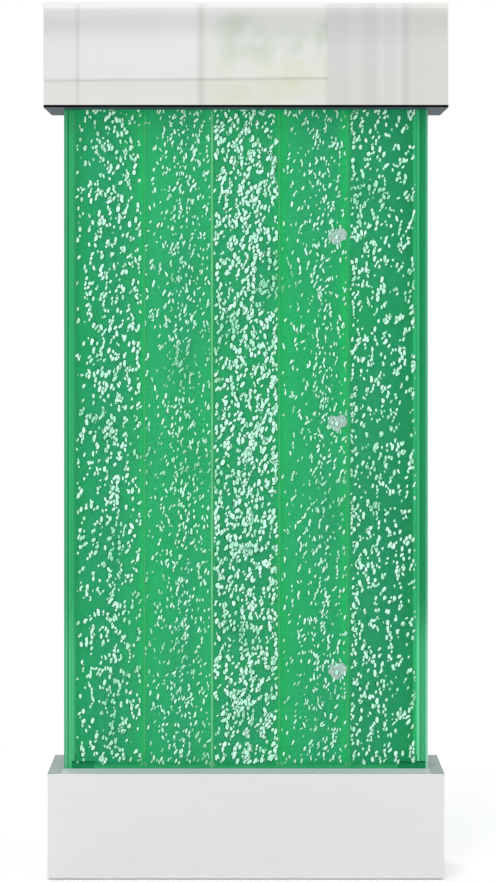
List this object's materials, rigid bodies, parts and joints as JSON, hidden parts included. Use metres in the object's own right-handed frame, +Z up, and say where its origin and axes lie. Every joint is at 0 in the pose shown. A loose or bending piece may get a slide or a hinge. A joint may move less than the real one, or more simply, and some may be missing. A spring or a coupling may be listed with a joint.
{
  "type": "bubble wall panel",
  "caption": "Floor-standing lamp: a tall, thin, green-lit tank of water in which bubbles rise through channels, between a steel base and a steel header.",
  "frame": {"origin": "on the floor, under the middle of the base", "axes": "+X right, +Y towards the back, +Z up; the front faces -Y"},
  "size_m": [0.844, 0.266, 1.83],
  "materials": {
    "polished_steel": "stainless steel, mirror polished",
    "satin_steel": "stainless steel, satin",
    "brushed_steel": "stainless steel, brushed",
    "zinc_steel": "steel, zinc plated",
    "painted_frame": "steel, black powder coat",
    "black_board": "black board, satin",
    "clear_acrylic": "clear acrylic, lit green from inside",
    "frosted_acrylic": "frosted acrylic",
    "rubber": "matt",
    "black_plastic": "matt",
    "grey_plastic": "matt",
    "blue_plastic": "satin",
    "white_plastic": "satin",
    "hose_plastic": "translucent",
    "brass": "turned",
    "aluminium": "anodised",
    "led_board": "board with lit green LEDs"
  },
  "bodies": {
    "panel": {"air_box_1": "frosted_acrylic", "air_box_2": "frosted_acrylic", "air_box_3": "frosted_acrylic", "air_box_4": "frosted_acrylic", "air_box_5": "frosted_acrylic", "air_hose": "hose_plastic", "air_manifold": "brass", "base_back_panel": "brushed_steel", "base_top_plate": "brushed_steel", "base_wrap": "satin_steel", "check_valve": "blue_plastic", "cradle_frame": "painted_frame", "cradle_pad": "rubber", "divider_1": "clear_acrylic", "divider_2": "clear_acrylic", "divider_3": "clear_acrylic", "divider_4": "clear_acrylic", "door_magnet": "white_plastic", "drain_valve": "brass", "floor_tray": "zinc_steel", "header_crossbar_left": "zinc_steel", "header_crossbar_right": "zinc_steel", "header_shell": "polished_steel", "header_soffit": "black_board", "hinge_leaf_panel": "zinc_steel", "hinge_pin": "zinc_steel", "led_board": "led_board", "led_channel": "aluminium", "led_diffuser": "frosted_acrylic", "led_driver": "grey_plastic", "led_lead": "black_plastic", "mains_lead": "black_plastic", "power_inlet": "black_plastic", "pump_case": "black_plastic", "pump_cover": "grey_plastic", "tank_back": "clear_acrylic", "tank_bottom": "clear_acrylic", "tank_front": "clear_acrylic", "tank_left": "clear_acrylic", "tank_right": "clear_acrylic", "top_brace": "clear_acrylic"},
    "lid": {"header_lid": "polished_steel"},
    "door": {"service_door": "brushed_steel", "hinge_leaf_door": "zinc_steel", "door_pull": "polished_steel"},
    "rocker": {"power_rocker": "white_plastic"},
    "drain_lever": {"drain_lever": "blue_plastic"},
    "knob_1": {"air_knob_1": "black_plastic"},
    "knob_2": {"air_knob_2": "black_plastic"},
    "knob_3": {"air_knob_3": "black_plastic"},
    "knob_4": {"air_knob_4": "black_plastic"},
    "knob_5": {"air_knob_5": "black_plastic"},
    "foot_front_left": {"foot_pad_front_left": "rubber"},
    "stud_front_left": {"foot_stud_front_left": "zinc_steel"},
    "foot_front_right": {"foot_pad_front_right": "rubber"},
    "stud_front_right": {"foot_stud_front_right": "zinc_steel"},
    "foot_back_left": {"foot_pad_back_left": "rubber"},
    "stud_back_left": {"foot_stud_back_left": "zinc_steel"},
    "foot_back_right": {"foot_pad_back_right": "rubber"},
    "stud_back_right": {"foot_stud_back_right": "zinc_steel"}
  },
  "joints": [
    {"name": "lid_lift", "type": "slide", "parent": "panel", "child": "lid", "axis": [0, 0, 1], "range_m": [0, 0.04]},
    {"name": "door_swing", "type": "hinge", "parent": "panel", "child": "door", "pos_m": [0.3595, 0.1268, 0.1144], "axis": [0, 0, -1], "range_deg": [0, 110]},
    {"name": "rocker_tilt", "type": "hinge", "parent": "panel", "child": "rocker", "pos_m": [-0.32, 0.124, 0.136], "axis": [0, 0, 1], "range_deg": [0, 16]},
    {"name": "drain_lever_turn", "type": "hinge", "parent": "panel", "child": "drain_lever", "pos_m": [0.342, 0.0183, 0.115], "axis": [0, -1, 0], "range_deg": [0, 90]},
    {"name": "air_knob_1_turn", "type": "hinge", "parent": "panel", "child": "knob_1", "pos_m": [-0.2705, 0.0273, 0.115], "axis": [0, 1, 0], "range_deg": [0, 90]},
    {"name": "air_knob_2_turn", "type": "hinge", "parent": "panel", "child": "knob_2", "pos_m": [-0.1448, 0.0273, 0.115], "axis": [0, 1, 0], "range_deg": [0, 90]},
    {"name": "air_knob_3_turn", "type": "hinge", "parent": "panel", "child": "knob_3", "pos_m": [0, 0.0273, 0.115], "axis": [0, 1, 0], "range_deg": [0, 90]},
    {"name": "air_knob_4_turn", "type": "hinge", "parent": "panel", "child": "knob_4", "pos_m": [0.1448, 0.0273, 0.115], "axis": [0, 1, 0], "range_deg": [0, 90]},
    {"name": "air_knob_5_turn", "type": "hinge", "parent": "panel", "child": "knob_5", "pos_m": [0.2705, 0.0273, 0.115], "axis": [0, 1, 0], "range_deg": [0, 90]},
    {"name": "foot_front_left_lower", "type": "slide", "parent": "panel", "child": "foot_front_left", "axis": [0, 0, -1], "range_m": [0, 0.01]},
    {"name": "foot_front_left_turn", "type": "hinge", "parent": "foot_front_left", "child": "stud_front_left", "pos_m": [-0.375, -0.092, 0], "axis": [0, 0, -1], "range_deg": [0, 2880]},
    {"name": "foot_front_right_lower", "type": "slide", "parent": "panel", "child": "foot_front_right", "axis": [0, 0, -1], "range_m": [0, 0.01]},
    {"name": "foot_front_right_turn", "type": "hinge", "parent": "foot_front_right", "child": "stud_front_right", "pos_m": [0.375, -0.092, 0], "axis": [0, 0, -1], "range_deg": [0, 2880]},
    {"name": "foot_back_left_lower", "type": "slide", "parent": "panel", "child": "foot_back_left", "axis": [0, 0, -1], "range_m": [0, 0.01]},
    {"name": "foot_back_left_turn", "type": "hinge", "parent": "foot_back_left", "child": "stud_back_left", "pos_m": [-0.375, 0.092, 0], "axis": [0, 0, -1], "range_deg": [0, 2880]},
    {"name": "foot_back_right_lower", "type": "slide", "parent": "panel", "child": "foot_back_right", "axis": [0, 0, -1], "range_m": [0, 0.01]},
    {"name": "foot_back_right_turn", "type": "hinge", "parent": "foot_back_right", "child": "stud_back_right", "pos_m": [0.375, 0.092, 0], "axis": [0, 0, -1], "range_deg": [0, 2880]}
  ],
  "couplings": [
    {"joint": "foot_front_left_turn", "follows": "foot_front_left_lower", "rad_per_m": 5026.5},
    {"joint": "foot_front_right_turn", "follows": "foot_front_right_lower", "rad_per_m": 5026.5},
    {"joint": "foot_back_left_turn", "follows": "foot_back_left_lower", "rad_per_m": 5026.5},
    {"joint": "foot_back_right_turn", "follows": "foot_back_right_lower", "rad_per_m": 5026.5}
  ]
}
